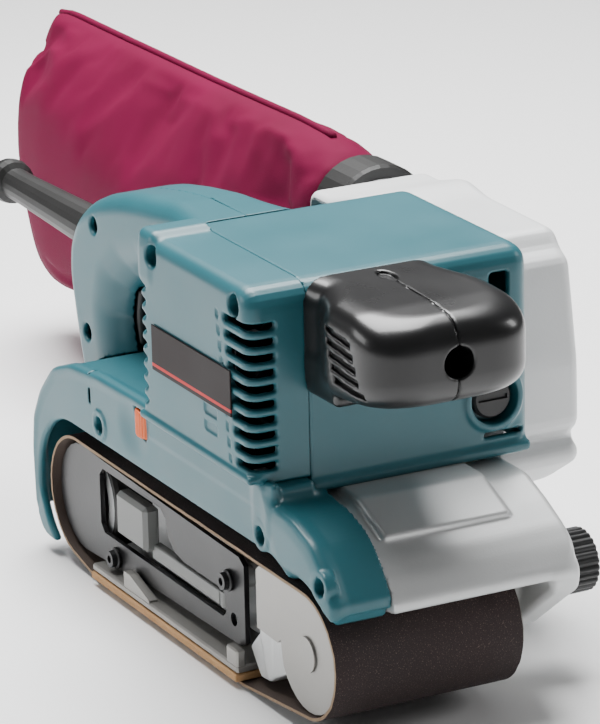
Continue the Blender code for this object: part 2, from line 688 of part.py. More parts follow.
def handle():
    """The D-shaped rear handle in two halves, with the switch, trigger and lock button inside."""
    stations = [  # X, Z, lean of the path in degrees, half depth
        (-2.6, 137.5, 180, 19.5),
        (-30, 138, 181, 19.0),
        (-58, 136.5, 188, 20.0),
        (-82, 130, 204, 21.0),
        (-99, 117, 230, 23.5),
        (-104, 98, 262, 21.5),
        (-100, 80, 284, 20.0),
        (-95, 64, 288, 20.0),
        (-89, 48, 288, 20.0),
    ]
    under = [
        (-119, 20), (-115.4, 40), (-113.4, 54.3), (-106.4, 66.4), (-94.2, 78.4), (-76.1, 85),
        (-50, 87.5), (-40, 20)
    ]

    def sweep(name, thinner, which):
        sections = []
        for x, z, lean, depth in which:
            way = radians(lean)
            up = Vector((-sin(way), 0, cos(way))) * (depth - thinner)
            sections.append(((x, 0, z), (0, 18.5 - thinner, 0), up))
        return loft(name, sections, 16, 2.5)

    inside = [(-2.0 - 6, 137.5, 180, 19.5), *stations[1:-1], (-85, 36, 288, 20.0)]
    for name, side in (("handle_left", (-25, -0.15)), ("handle_right", (0.15, 25))):
        half = sweep(name, 0, stations)
        common(half, box(f"{name}_side", (-170, 10), side, (20, 170)))
        cut(
            half,
            sweep(f"{name}_hollow", WALL, inside),
            rod(f"{name}_cord_hole", "x", (0, 118), 7.5 + GAP, (-170, -112), 24),
            box(f"{name}_trigger_slot", (-95, -70), (-8.5, 8.5), (83, 111)),
            flat(f"{name}_seat", "y", under, (-30, 30)),
        )
        if name == "handle_right":
            cut(half, rod("lock_button_hole", "y", (-104, 104), 4.5 + GAP, (10, 25), 20))
        keep(half, "teal plastic")
    body = box("switch_body", (-114.5, -95.5), (-9, 9), (82, 105), 0.8)
    keep(body, "black plastic")
    trigger = box("trigger", (-89.5, -78), (-7.8, 7.8), (84, 110), 3)
    keep(trigger, "black plastic")
    on_axis("trigger_axis", (-84, 0, 97), trigger)
    button = turned(
        "lock_button", "y", (-104, 104), [(0, 20.5), (3.6, 20.5), (4.5, 19.6), (4.5, 13), (0, 13)], 20
    )
    keep(button, "black plastic")
    on_axis("lock_button_axis", (-104, 16, 104), button)


def cord_guard():
    """The tapered rubber sleeve at the back of the handle."""
    profile = [(3.6, -117), (7.2, -117), (7.2, -130), (8.6, -133), (7.6, -165), (6.6, -200), (6.6, -212)]
    profile += [(8.8, -213.5), (9.4, -217), (8.8, -221), (3.6, -221)]
    keep(turned("cord_guard", "x", (0, 118), profile, 20), "black rubber")


def front_grip():
    """The hollow front grip, held by one screw."""
    shape = [  # X, middle Y, half width, middle Z, half height
        (88.4, 7.5, 28.5, 139.5, 20.5),
        (94, 6.5, 29.5, 139.5, 20.5),
        (112, 4.5, 32.0, 140.0, 19.0),
        (130, 3.5, 33.0, 140.5, 16.5),
        (144, 3.5, 31.5, 140.5, 13.5),
        (149, 3.5, 28.0, 140.5, 10.0),
        (150.5, 3.5, 23.0, 140.5, 6.0),
    ]

    def skin(name, thinner, which):
        rings = [((x, y, z), (0, w - thinner, 0), (0, 0, h - thinner)) for x, y, w, z, h in which]
        return loft(name, rings, 24, 4.0)

    grip = skin("front_grip", 0, shape)
    hollow = skin("grip_hollow", WALL, [(85, *shape[0][1:]), *shape[1:-2]])
    cut(grip, hollow)
    join(grip, rod("grip_boss", "x", (5, 141), 8, (92, 147), 24))
    cut(grip, rod("grip_screw_hole", "x", (5, 141), 5.0, (80, 160), 24))
    keep(grip, "black plastic")
    screw = turned(
        "grip_screw", "x", (5, 141),
        [(0, 108), (4.2, 108), (4.2, 104), (2.2, 104), (2.2, 89), (0, 89)], 20
    )
    keep(screw, "bright steel")


def drive_cover():
    """The cover over the toothed belt and the dust duct, with the spout for the bag."""
    rear = arc(REAR_AXLE, 26.0, 310, 170, 10)
    outline = [
        (-51, 146.5), (40, 147), (47, 143), (52, 134), (61, 100), (61, 66), (55, 60), (34, 45),
        (19, 42), (-40, 18)
    ]
    outline = outline + rear + [(-102, 62), (-74, 86), (-56, 100)]
    inner_rear = arc(REAR_AXLE, 23.0, 310, 170, 10)
    hollow = [
        (-48, 143.5), (38, 144), (44, 141), (49, 133), (58, 100), (58, 68), (53, 63), (33, 48),
        (18, 45), (-40, 21)
    ]
    hollow = hollow + inner_rear + [(-99, 61), (-71.5, 83.5), (-53, 98)]
    cover = flat("drive_cover", "y", outline, (51.4, COVER_RIGHT))
    cut(cover, flat("drive_cover_hollow", "y", hollow, (45, COVER_RIGHT - WALL)))
    cut(cover, box("drive_cover_step", (HOUSING_X[0] - 1, 100), (40, HOUSING_RIGHT + 0.8), (66.5, 170)))
    seat = rod("cover_bearing_seat", "y", REAR_AXLE, 13.5, (93, COVER_RIGHT - 1))
    spout = rod("spout_tube", "x", SPOUT, 16.0, (-76.5, -50))
    join(cover, seat, spout)
    cut(
        cover,
        rod("cover_bearing_bore", "y", REAR_AXLE, 11 + GAP, (85, 101.3)),
        rod("spout_bore", "x", SPOUT, 13.2, (-90, -44)),
    )
    keep(cover, "silver plastic")


def tracking():
    knob = turned(
        "tracking_knob",
        "y",
        KNOB_AXIS,
        [(0, 82.5), (10.5, 82.5), (12, 81), (12, 71.8), (3.4, 71.8), (3.4, 78.5), (0, 78.5)],
        28,
    )
    keep(knob, "black plastic")
    screw = rod("tracking_screw", "y", KNOB_AXIS, 3.0, (44, 78.1), 20)
    keep(screw, "bright steel")
    on_axis("tracking_axis", (KNOB_AXIS[0], 72, KNOB_AXIS[1]), knob, screw)


def dust_bag():
    """The bag's rubber collar on the spout, and the filled bag as a plain solid."""
    collar = turned(
        "bag_collar",
        "x",
        SPOUT,
        [(16.3, -58), (20.5, -58), (21.5, -59.5), (21.5, -76), (20.5, -77.5), (16.3, -77.5)],
        32,
    )
    keep(collar, "black rubber")
    y = SPOUT[0]
    sections = [  # X, middle Z, half width, half height
        (-78, 128, 22, 22),
        (-98, 125, 25, 28),
        (-125, 118, 28, 35),
        (-160, 109, 32, 44),
        (-205, 98, 36, 54),
        (-260, 88, 38, 64),
        (-315, 82, 37, 70),
        (-345, 81, 32, 71.5),
        (-368, 81, 21, 66),
        (BAG_BACK, 82, 8, 52),
    ]
    rings = [((x, y, z), (0, w, 0), (0, 0, h)) for x, z, w, h in sections]
    bag = keep(loft("dust_bag", rings, 24, 2.3), "bag cloth")
    on_axis("dust_bag_axis", (-68, *SPOUT), collar, bag)


belt_set()
frame_casting()
side_plate()
tension_lever()
roller_bracket()
rollers()
motor()
motor_housing()
belt_guard()
handle()
cord_guard()
front_grip()
drive_cover()
tracking()
dust_bag()
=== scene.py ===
"""Looks of a handheld belt sander: moulded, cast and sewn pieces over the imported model, and its materials."""
import math

import bpy
import numpy as np
from mathutils import Matrix, Vector
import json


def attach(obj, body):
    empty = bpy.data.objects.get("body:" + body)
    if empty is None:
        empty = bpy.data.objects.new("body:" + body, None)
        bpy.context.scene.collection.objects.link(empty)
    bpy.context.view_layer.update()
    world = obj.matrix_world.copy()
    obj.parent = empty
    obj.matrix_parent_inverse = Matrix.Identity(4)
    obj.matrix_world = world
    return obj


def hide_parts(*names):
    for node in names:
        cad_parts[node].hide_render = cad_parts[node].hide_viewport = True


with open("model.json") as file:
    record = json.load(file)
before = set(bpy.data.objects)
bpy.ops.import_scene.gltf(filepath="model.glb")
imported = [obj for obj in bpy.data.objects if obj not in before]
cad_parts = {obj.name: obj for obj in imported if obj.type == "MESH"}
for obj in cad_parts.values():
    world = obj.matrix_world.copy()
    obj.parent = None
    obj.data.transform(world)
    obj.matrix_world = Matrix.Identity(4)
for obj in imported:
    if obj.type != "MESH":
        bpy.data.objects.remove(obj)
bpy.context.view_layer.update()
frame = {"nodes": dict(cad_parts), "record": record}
nodes = frame["nodes"]

# Studio: a pale floor under the machine, one soft light overhead, weaker ones to the sides, and the camera
# in front of the open side, above the belt.
floor_mesh = bpy.data.meshes.new("studio_floor")
floor_mesh.from_pydata([(-9, -9, 0), (9, -9, 0), (9, 9, 0), (-9, 9, 0)], [], [(0, 1, 2, 3)])
floor = bpy.data.objects.new("studio_floor", floor_mesh)
bpy.context.scene.collection.objects.link(floor)
floor.location.z = -0.0012
paper = bpy.data.materials.new("white_paper")
paper.use_nodes = True
paper_shader = paper.node_tree.nodes["Principled BSDF"]
paper_noise = paper.node_tree.nodes.new("ShaderNodeTexNoise")
paper_noise.inputs["Scale"].default_value = 3.0
paper_tint = paper.node_tree.nodes.new("ShaderNodeMix")
paper_tint.data_type = "RGBA"
paper_tint.inputs[6].default_value = (0.90, 0.90, 0.90, 1)
paper_tint.inputs[7].default_value = (0.93, 0.93, 0.93, 1)
paper.node_tree.links.new(paper_noise.outputs["Fac"], paper_tint.inputs[0])
paper.node_tree.links.new(paper_tint.outputs[2], paper_shader.inputs["Base Color"])
paper_shader.inputs["Roughness"].default_value = 0.9
floor_mesh.materials.append(paper)

world = bpy.data.worlds.new("studio")
bpy.context.scene.world = world
world.use_nodes = True
world.node_tree.nodes["Background"].inputs["Color"].default_value = (1.0, 1.0, 1.0, 1)
world.node_tree.nodes["Background"].inputs["Strength"].default_value = 0.16


def soft_light(name, spot, aim, size, watts):
    data = bpy.data.lights.new(name, "AREA")
    data.shape = "RECTANGLE"
    data.size, data.size_y = size
    data.energy = watts
    lamp = bpy.data.objects.new(name, data)
    bpy.context.scene.collection.objects.link(lamp)
    lamp.location = spot
    lamp.rotation_euler = (Vector(aim) - Vector(spot)).to_track_quat("-Z", "Y").to_euler()


soft_light("overhead", (-0.38, 0.12, 1.2), (0.0, 0.03, 0.05), (0.9, 0.9), 52)
soft_light("open_side", (-0.7, -1.4, 0.6), (0.0, 0.0, 0.08), (0.8, 0.5), 7)
soft_light("drive_side", (0.6, 1.6, 0.8), (0.05, 0.08, 0.08), (0.4, 0.6), 7)

camera_data = bpy.data.cameras.new("camera")
camera_data.lens = 218.73
camera = bpy.data.objects.new("camera", camera_data)
bpy.context.scene.collection.objects.link(camera)
forward = Vector((-0.84435059, 0.43478057, -0.3131101)).normalized()
right = Vector((0.46392734, 0.88561723, -0.02129653)).normalized()
up = right.cross(forward)
turn = Matrix((right, up, -forward)).transposed()
camera.matrix_world = Matrix.Translation((1.39647, -0.69830, 0.61460)) @ turn.to_4x4()
bpy.context.scene.camera = camera


# Lower casing: a satin teal moulding. Its side panel runs beside the belt from the rear roller to the rounded
# front shoulder, its roof closes over the belt, and the speed dial looks out of a scoop in the panel. Each
# moulding is a field, a signed distance in millimetres that is below zero inside it, and skin() meshes it.
def blend_low(a, b, k):
    """The lower of two fields, with a fillet of about k between them."""
    h = np.maximum(k - np.abs(a - b), 0.0) / k
    return np.minimum(a, b) - h * h * k / 4


def blend_high(a, b, k):
    """The higher of two fields, with a fillet of about k between them."""
    return -blend_low(-a, -b, k)


def soft(points, radius, steps=4):
    """The closed outline with each corner replaced by a quadratic curve that starts and ends radius away from
    it, or nearly half a side away where the side is short. radius is one number, or one for each point."""
    out = []
    count = len(points)
    for i in range(count):
        p = np.array(points[i], float)
        a = np.array(points[i - 1], float) - p
        b = np.array(points[(i + 1) % count], float) - p
        la, lb = np.linalg.norm(a), np.linalg.norm(b)
        want = radius[i] if hasattr(radius, "__len__") else radius
        reach = min(want, la * 0.49, lb * 0.49)
        start, end = p + a / la * reach, p + b / lb * reach
        for s in np.linspace(0, 1, steps + 1):
            out.append(tuple((1 - s) ** 2 * start + 2 * s * (1 - s) * p + s * s * end))
    return out


def outline(u, v, points):
    """Signed distance to a closed outline: to the nearest point of any side, below zero where a line drawn
    from the point crosses the outline an odd number of times."""
    nearest = np.full(np.broadcast(u, v).shape, 1e12)
    inside = np.zeros(nearest.shape, bool)
    points = np.asarray(points, float)
    for (au, av), (bu, bv) in zip(points, np.roll(points, -1, axis=0)):
        eu, ev = bu - au, bv - av
        length = eu * eu + ev * ev
        if length < 1e-9:
            continue
        t = np.clip(((u - au) * eu + (v - av) * ev) / length, 0, 1)
        nearest = np.minimum(nearest, (u - au - t * eu) ** 2 + (v - av - t * ev) ** 2)
        if abs(ev) > 1e-12:
            inside ^= ((av > v) != (bv > v)) & (u < eu * (v - av) / ev + au)
    return np.where(inside, -1, 1) * np.sqrt(nearest)


def meet(a, b, r):
    """Where both fields are inside, with an outer edge of radius r: past the edge, the distance to a circle."""
    a, b = a + r, b + r
    return np.minimum(np.maximum(a, b), 0) + np.sqrt(np.maximum(a, 0) ** 2 + np.maximum(b, 0) ** 2) - r


def prism(u, v, w, points, low, high, r):
    """The outline in u and v, thick from low to high along w, with edges of radius r."""
    return meet(outline(u, v, points), np.abs(w - (low + high) / 2) - (high - low) / 2, r)


def block(x, y, z, low, high, r):
    """A box between two corners, with edges of radius r."""
    q = [np.abs(c - (a + b) / 2) - (b - a) / 2 + r for c, a, b in zip((x, y, z), low, high)]
    outer = np.sqrt(sum(np.maximum(c, 0) ** 2 for c in q))
    return outer + np.minimum(np.maximum(np.maximum(q[0], q[1]), q[2]), 0) - r


def drum(u, v, w, centre, radius, low, high, r=0.3):
    """A disc or pin round centre in u and v, from low to high along w, with edges of radius r."""
    round_side = np.sqrt((u - centre[0]) ** 2 + (v - centre[1]) ** 2) - radius
    return meet(round_side, np.abs(w - (low + high) / 2) - (high - low) / 2, r)


def skin(name, field, low, high, step, body="machine"):
    """A smooth surface on the field's zero level between two corners. Each cell of the grid that the surface
    crosses gets one point, at the mean of its crossed edges, and each crossed edge gets one quad. Two Newton
    steps along the slope move the points onto the surface, and the slope there gives the normals."""
    axes = [np.arange(a - 2 * step, b + 3 * step, step) for a, b in zip(low, high)]
    grid = (axes[0][:, None, None], axes[1][None, :, None], axes[2][None, None, :])
    size = tuple(len(a) for a in axes)
    f = np.array(np.broadcast_to(field(*grid), size), np.float32)
    f[f == 0] = 1e-6
    inside = f < 0
    count = np.zeros(tuple(n - 1 for n in size), np.int8)
    for i, j, k in np.ndindex(2, 2, 2):
        count += inside[i : size[0] - 1 + i, j : size[1] - 1 + j, k : size[2] - 1 + k]
    active = (count > 0) & (count < 8)
    cells = np.argwhere(active)
    index = np.full(active.shape, -1, np.int64)
    index[active] = np.arange(len(cells))
    total = np.zeros((len(cells), 3))
    hits = np.zeros(len(cells))
    quads = []
    unit = np.eye(3, dtype=int)
    for axis in range(3):
        u, v = (axis + 1) % 3, (axis + 2) % 3
        for a in (0, 1):
            for b in (0, 1):
                start = unit[u] * a + unit[v] * b
                fa = f[tuple((cells + start).T)]
                fb = f[tuple((cells + start + unit[axis]).T)]
                cross = (fa < 0) != (fb < 0)
                t = np.where(cross, fa / np.where(cross, fa - fb, 1), 0)
                total += np.where(cross, 1, 0)[:, None] * (start + t[:, None] * unit[axis])
                hits += cross
        span = [slice(1, n - 1) for n in size]
        ahead = list(span)
        span[axis] = slice(0, size[axis] - 1)
        ahead[axis] = slice(1, size[axis])
        edges = np.argwhere(inside[tuple(span)] != inside[tuple(ahead)]) + (1 - unit[axis])
        ring = [edges - unit[u] - unit[v], edges - unit[v], edges, edges - unit[u]]
        quad = np.stack([index[tuple(e.T)] for e in ring], axis=1)
        outward = inside[tuple(edges.T)]
        quads.append(np.where(outward[:, None], quad, quad[:, ::-1]))
    points = (cells + total / hits[:, None]) * step + np.array([a[0] for a in axes])
    quads = np.concatenate(quads)

    def slope(p):
        e = 0.3 * step
        ahead_behind = [(field(*(p + e * s).T), field(*(p - e * s).T)) for s in unit]
        return np.stack([(a - b) / (2 * e) for a, b in ahead_behind], axis=1)

    for _ in range(2):
        g = slope(points)
        move = -field(*points.T) / np.maximum((g**2).sum(1), 0.05)
        points = points + g * np.clip(move, -0.5 * step, 0.5 * step)[:, None]
    g = slope(points)
    g /= np.maximum(np.linalg.norm(g, axis=1), 1e-6)[:, None]
    mesh = bpy.data.meshes.new(name)
    mesh.vertices.add(len(points))
    mesh.vertices.foreach_set("co", (points * 0.001).ravel())
    mesh.loops.add(quads.size)
    mesh.loops.foreach_set("vertex_index", quads.ravel())
    mesh.polygons.add(len(quads))
    mesh.polygons.foreach_set("loop_start", np.arange(0, quads.size, 4))
    mesh.update(calc_edges=True)
    mesh.validate()
    mesh.shade_smooth()
    mesh.normals_split_custom_set_from_vertices(g.tolist())
    obj = bpy.data.objects.new(name, mesh)
    bpy.context.scene.collection.objects.link(obj)
    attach(obj, body)
    return obj


grain = bpy.data.node_groups.new("surface grain", "ShaderNodeTree")
grain.interface.new_socket("Size", in_out="INPUT", socket_type="NodeSocketFloat")
grain.interface.new_socket("Cloud", in_out="OUTPUT", socket_type="NodeSocketFloat")
grain.interface.new_socket("Height", in_out="OUTPUT", socket_type="NodeSocketFloat")
grain_in = grain.nodes.new("NodeGroupInput")
grain_out = grain.nodes.new("NodeGroupOutput")
grain_where = grain.nodes.new("ShaderNodeTexCoord")
grain_fine = grain.nodes.new("ShaderNodeTexNoise")
grain_fine.inputs["Detail"].default_value = 2.0
grain_broad = grain.nodes.new("ShaderNodeTexNoise")
grain_broad.inputs["Scale"].default_value = 28.0
grain_broad.inputs["Detail"].default_value = 5.0
grain.links.new(grain_where.outputs["Object"], grain_fine.inputs["Vector"])
grain.links.new(grain_where.outputs["Object"], grain_broad.inputs["Vector"])
grain.links.new(grain_in.outputs["Size"], grain_fine.inputs["Scale"])
grain.links.new(grain_fine.outputs["Fac"], grain_out.inputs["Height"])
grain.links.new(grain_broad.outputs["Fac"], grain_out.inputs["Cloud"])


def finish(name, dark, light, rough, metallic=0.0, coat=0.0, size=1500.0, height=0.05, spread=0.08):
    """A moulded, cast or painted finish: two close tones, uneven gloss and a fine grain."""
    made = bpy.data.materials.new(name)
    made.use_nodes = True
    tree = made.node_tree
    shader = tree.nodes["Principled BSDF"]
    texture = tree.nodes.new("ShaderNodeGroup")
    texture.node_tree = grain
    texture.inputs["Size"].default_value = size
    tone = tree.nodes.new("ShaderNodeMix")
    tone.data_type = "RGBA"
    tone.inputs[6].default_value = (*dark, 1)
    tone.inputs[7].default_value = (*light, 1)
    gloss = tree.nodes.new("ShaderNodeMapRange")
    gloss.inputs["To Min"].default_value = max(rough - spread, 0.02)
    gloss.inputs["To Max"].default_value = min(rough + spread, 1.0)
    bump = tree.nodes.new("ShaderNodeBump")
    bump.inputs["Strength"].default_value = 1.0
    bump.inputs["Distance"].default_value = height * 0.001
    tree.links.new(texture.outputs["Cloud"], tone.inputs[0])
    tree.links.new(texture.outputs["Cloud"], gloss.inputs["Value"])
    tree.links.new(texture.outputs["Height"], bump.inputs["Height"])
    tree.links.new(tone.outputs[2], shader.inputs["Base Color"])
    tree.links.new(gloss.outputs["Result"], shader.inputs["Roughness"])
    tree.links.new(bump.outputs["Normal"], shader.inputs["Normal"])
    shader.inputs["Metallic"].default_value = metallic
    shader.inputs["Coat Weight"].default_value = coat
    return made


def dress(obj, made, replaces=None):
    obj.data.materials.clear()
    obj.data.materials.append(made)
    if replaces:
        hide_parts(*replaces)
    return obj


teal_tones = (0.015, 0.105, 0.130), (0.018, 0.120, 0.148)
teal = finish("teal_plastic", *teal_tones, 0.40, coat=0.06, size=2200, height=0.012)
front_axle, rear_axle = (112.0, 29.3), (-78.0, 28.8)


def circle(centre, radius, start, end, steps):
    """Points on an arc from one angle to another, in degrees."""
    turns = np.radians(np.linspace(start, end, steps + 1))
    return [(centre[0] + radius * math.cos(t), centre[1] + radius * math.sin(t)) for t in turns]


roof_line = [(-106, 66), (-94, 78), (-76, 84.5), (-50, 87), (-4, 88)]
panel_line = [(-95, 5), (-107, 5.5), (-113, 12), (-115, 40), (-113, 54)] + roof_line
panel_line += [(86, 86), (91, 80), (108, 78.5), (122, 74), (131, 66), (138, 56), (137.5, 50.5)]
panel_line += circle(front_axle, 31.5, 42, 86, 6) + circle(rear_axle, 31.5, 92, 190, 12) + [(-103, 12)]
panel_line = soft(panel_line, 3.5)
shoulder_line = [(88, 66), (88, 82), (93, 79.8), (108, 78.5), (122, 74), (131, 66), (138, 56), (137.5, 50.5)]
shoulder_line = soft(shoulder_line, 4) + circle(front_axle, 27.0, 40, 118, 8)
shell_line = [(-115, 16), (-115, 40), (-113, 54)] + roof_line + [(-4, 84), (-50, 83), (-75, 80)]
shell_line += [(-91, 74), (-102, 63), (-108.5, 53), (-111, 40), (-111, 16)]


def guard_field(x, y, z):
    panel = prism(x, z, y, panel_line, -40, -36.6, 1.4)
    roof = prism(x, z, y, soft(shell_line, 2.5), -39.5, 40, 4.0)
    whole = blend_low(panel, roof, 3)
    shoulder = np.maximum(prism(x, z, y, shoulder_line, -39.5, -6, 6.0), y + 16.3)
    whole = blend_low(whole, shoulder, 5)
    whole = blend_low(whole, block(x, y, z, (80, -39.6, 68), (92.5, -21.5, 85.8), 2.0), 4)
    ledge = block(x, y, z, (-6, -39.8, 76), (94, -36.6, 87.6), 1.5)
    whole = blend_low(whole, ledge, 2)
    whole = blend_high(whole, -block(x, y, z, (-52, -36.3, 50), (91, 60, 66.4), 0.5), 0.5)
    scoop = np.sqrt(((x + 20) / 13) ** 2 + ((z - 75) / 11) ** 2 + ((y + 42) / 3.2) ** 2)
    whole = blend_high(whole, (1 - scoop) * 3.2, 1.0)
    whole = blend_high(whole, -block(x, y, z, (-19.5, -45, 73.4), (-9, -34, 84.6), 1.0), 0.6)
    for spot in ((-50, 67.7), (85, 66.3), (130, 61.2)):
        ring = drum(x, z, y, spot, 6.0, -40.7, -36, 0.6)
        whole = blend_low(whole, ring, 1.0)
        whole = blend_high(whole, -drum(x, z, y, spot, 3.4, -46, -37.2, 0.3), 0.6)
    groove = np.maximum(np.abs(x + 59) - 0.35, -39.3 - y)
    whole = blend_high(whole, -np.maximum(groove, np.maximum(74 - z, y + 36)), 0.3)
    return whole


guard = skin("lower_casing", guard_field, (-115, -41, 4), (139, 40, 89), 1.0)
dress(guard, teal, ["belt_guard"])

# Speed dial: an orange plastic wheel lying flat in the scoop, with fine knurls round its rim for the thumb.
# It is moulded in one and pressed onto the shaft of the speed control below it.
orange = finish("orange_plastic", (0.80, 0.13, 0.025), (0.86, 0.17, 0.04), 0.4, size=900, height=0.02)


def dial_field(x, y, z):
    around = np.arctan2(y + 32.2, x + 13)
    rim = drum(x, y, z, (-13, -32.2), 9.0, 74, 84, 0.8) + 0.22 * np.cos(36 * around)
    return np.maximum(rim, -drum(x, y, z, (-13, -32.2), 1.8, 70, 90, 0.1))


dial = skin("speed_wheel", dial_field, (-23, -42, 73), (-3, -22, 85), 0.5, "speed_dial")
dress(dial, orange, ["speed_dial"])


# Side cover of the motor housing: a teal moulded shell held by two screws at the bottom of deep holes. Ten
# vents wrap round its front corner and nine small ones its rear corner, which is raised over the rear screw.
cover_screws = ((11, 151.5), (77, 150.5))
brush_centre = (46, 102)


def cover_field(x, y, z):
    face = soft([(-2, 86), (-2, 158), (88, 158), (88, 86)], [0.5, 7, 9, 0.5], 6)
    whole = prism(x, z, y, face, -45, -10, 5.5)
    whole = np.maximum(whole, y + 21.1)
    corner = block(x, y, z, (-2, -44.6, 140), (11.5, -15, 160), 3.5)
    whole = blend_low(whole, np.maximum(corner, y + 21.1), 3)
    lip = block(x, y, z, (-1.6, -46, 86.5), (88, -40, 89.5), 1.2)
    whole = blend_low(whole, lip, 1.2)
    hollow = block(x, y, z, (1, -42, 80), (85, -5, 155), 3)
    bosses = np.minimum(*(drum(x, z, y, spot, 6.4, -44, -22, 0.5) for spot in cover_screws))
    seat = drum(x, z, y, brush_centre, 13.5, -44, -33.5, 0.5)
    whole = np.maximum(whole, -np.maximum(hollow, -np.minimum(bosses, seat)))
    for i in range(10):
        z0 = 144.2 - 5.75 * i
        x0 = 68.5 + 0.9 * i
        slit = block(x, y, z, (x0, -50, z0 - 1.55), (95, -34, z0 + 1.55), 1.2)
        whole = blend_high(whole, -slit, 1.0)
        dimple = block(x, y, z, (x0 - 5.5, -50, z0 - 1.7), (x0 - 3.2, -44.4, z0 + 1.7), 0.8)
        whole = blend_high(whole, -dimple, 0.5)
    for i in range(9):
        z0 = 138.5 - 5.45 * i
        scallop = np.sqrt(((x + 2.5) / 8) ** 2 + ((y + 46) / 6) ** 2 + ((z - z0 + 0.4) / 2.2) ** 2)
        whole = blend_high(whole, (1 - scallop) * 2.2, 0.6)
        whole = np.maximum(whole, -block(x, y, z, (-6, -44, z0 - 1.3), (1.5, -36, z0 + 1.3), 0.8))
    for i in range(2):
        pocket = block(x, y, z, (52, -50, 97.6 + 6.4 * i), (62, -44.4, 101.2 + 6.4 * i), 0.6)
        whole = blend_high(whole, -pocket, 0.4)
    for spot in cover_screws:
        whole = blend_high(whole, -drum(x, z, y, spot, 4.1, -60, -20, 0.3), 1.0)
    whole = np.maximum(whole, -drum(x, z, y, brush_centre, 10.3, -41.4, -20, 0.2))
    return whole


cover = skin("housing_side_cover", cover_field, (-3, -46, 85), (89, -21, 161), 0.8)
dress(cover, teal, ["housing_cover"])


# Motor housing: the main teal moulding, with a parting line to the side cover, a window and a slot in its
# front face and a deep round seat for the brush cap.
housing_face = soft([(-2, 80), (-2, 158), (88, 158), (88, 80)], [1, 7, 9, 1], 6)


def housing_field(x, y, z):
    whole = prism(x, z, y, housing_face, -35, 70, 7)
    whole = np.maximum(whole, -21.0 - y)
    hollow = block(x, y, z, (1, -40, 70), (85, 67, 155), 3)
    seat = drum(x, z, y, brush_centre, 14, 61.5, 69, 0.5)
    whole = np.maximum(whole, -np.maximum(hollow, -seat))
    whole = np.maximum(whole, -drum(x, z, y, brush_centre, 11.3, 50, 68.2, 0.2))
    rim = drum(y, z, x, (54, 102), 12.0, 80, 89.2, 0.8)
    whole = blend_low(whole, rim, 2)
    whole = blend_high(whole, -drum(y, z, x, (54, 102), 9.6, 83.4, 100, 0.4), 0.8)
    whole = blend_high(whole, -block(x, y, z, (82, 52.5, 138), (95, 60.5, 149.5), 1.5), 0.8)
    whole = blend_high(whole, -block(x, y, z, (82, 50, 87), (95, 66, 89.2), 0.8), 0.5)
    lip = block(x, y, z, (80, -21.0, 80), (89.5, 69, 84), 1.5)
    whole = blend_low(whole, np.maximum(lip, -21.0 - y), 2)
    return whole


housing = skin("main_housing", housing_field, (-3, -22, 79), (90, 71, 159), 1.0)
dress(housing, teal, ["motor_housing"])


# Rear handle: a D-shaped teal moulding in two halves screwed together, with flat sides, a rounded back and a
# scooped waist behind the trigger. Its foot sits on the lower casing.
outer_arch = [(12, 157.8), (-30, 157), (-55, 153.5), (-75, 149.8), (-92, 145), (-106, 139), (-117, 131)]
outer_arch += [(-124, 120), (-125.5, 107), (-122.5, 92), (-118, 76), (-113.5, 62), (-110, 44)]
inner_arch = [(-67, 44), (-73, 66), (-78, 82), (-82, 97), (-79, 107), (-71, 114), (-58, 117.5), (-30, 119)]
inner_arch += [(12, 118.5)]
arch = soft(outer_arch + inner_arch, 5, 3)
foot_line = [(-135, 20), (-115.5, 30), (-115.5, 40), (-113.4, 54.4), (-106.4, 66.5), (-94.2, 78.5)]
foot_line += [(-76.1, 85.1), (-50, 87.6), (-40, 20)]
finger_gap = inner_arch + [(12, 44)]


def handle_field(x, y, z):
    flare = np.clip((x + 34) / 34, 0, 1.1) ** 2
    wide = y / (1 + 0.40 * flare)
    outer = prism(x, z, wide, arch, -18.5, 18.5, 8.5)
    depth = np.maximum(outline(x, z, finger_gap), 0)
    shelf = (np.abs(wide) - 8.8 - 10 * np.clip((x + 62) / 30, 0, 1) ** 2 - 0.75 * depth) * 0.8
    whole = blend_high(outer, shelf, 4)
    housing_shell = prism(x, z, y, housing_face, -35, 70, 7)
    whole = np.maximum(whole, 0.3 - housing_shell)
    whole = np.maximum(whole, -np.maximum(whole + 3.0, x + 8))
    whole = np.maximum(whole, -outline(x, z, foot_line))
    whole = np.maximum(whole, -drum(y, z, x, (0, 118), 7.8, -170, -112, 0.3))
    whole = np.maximum(whole, -block(x, y, z, (-95, -8.5, 83), (-70, 8.5, 111), 1))
    for spot in ((-97, 132), (-106, 86)):
        whole = blend_high(whole, -drum(x, z, y, spot, 3.4, -40, -8, 0.3), 1.2)
    whole = np.maximum(whole, -drum(x, z, y, (-104, 104), 4.8, 10, 30, 0.2))
    return whole


def open_side_half(x, y, z):
    return np.maximum(handle_field(x, y, z), y + 0.15)


def drive_side_half(x, y, z):
    return np.maximum(handle_field(x, y, z), 0.15 - y)


left_half = skin("handle_half_open_side", open_side_half, (-129, -27, 42), (7, 1, 159), 1.0)
dress(left_half, teal, ["handle_left"])
right_half = skin("handle_half_drive_side", drive_side_half, (-129, -1, 42), (7, 27, 159), 1.0)
dress(right_half, teal, ["handle_right"])

# Trigger: a satin black moulding that slides into the handle's slot, with a front curved for the finger.
# The spring of the switch behind it pushes it out.
matt_black_tones = (0.006, 0.006, 0.0065), (0.009, 0.009, 0.0095)
matt_black = finish("matt_black_plastic", *matt_black_tones, 0.45, size=1400, height=0.03)
trigger_line = soft([(-89.5, 84), (-78, 85), (-80, 97), (-77.5, 109.5), (-89.5, 110)], 3)


def trigger_field(x, y, z):
    return prism(x, z, y, trigger_line, -7.8, 7.8, 2.5)


trigger = skin("trigger_key", trigger_field, (-91, -9, 83), (-76, 9, 111), 0.6, "trigger")
dress(trigger, matt_black, ["trigger"])

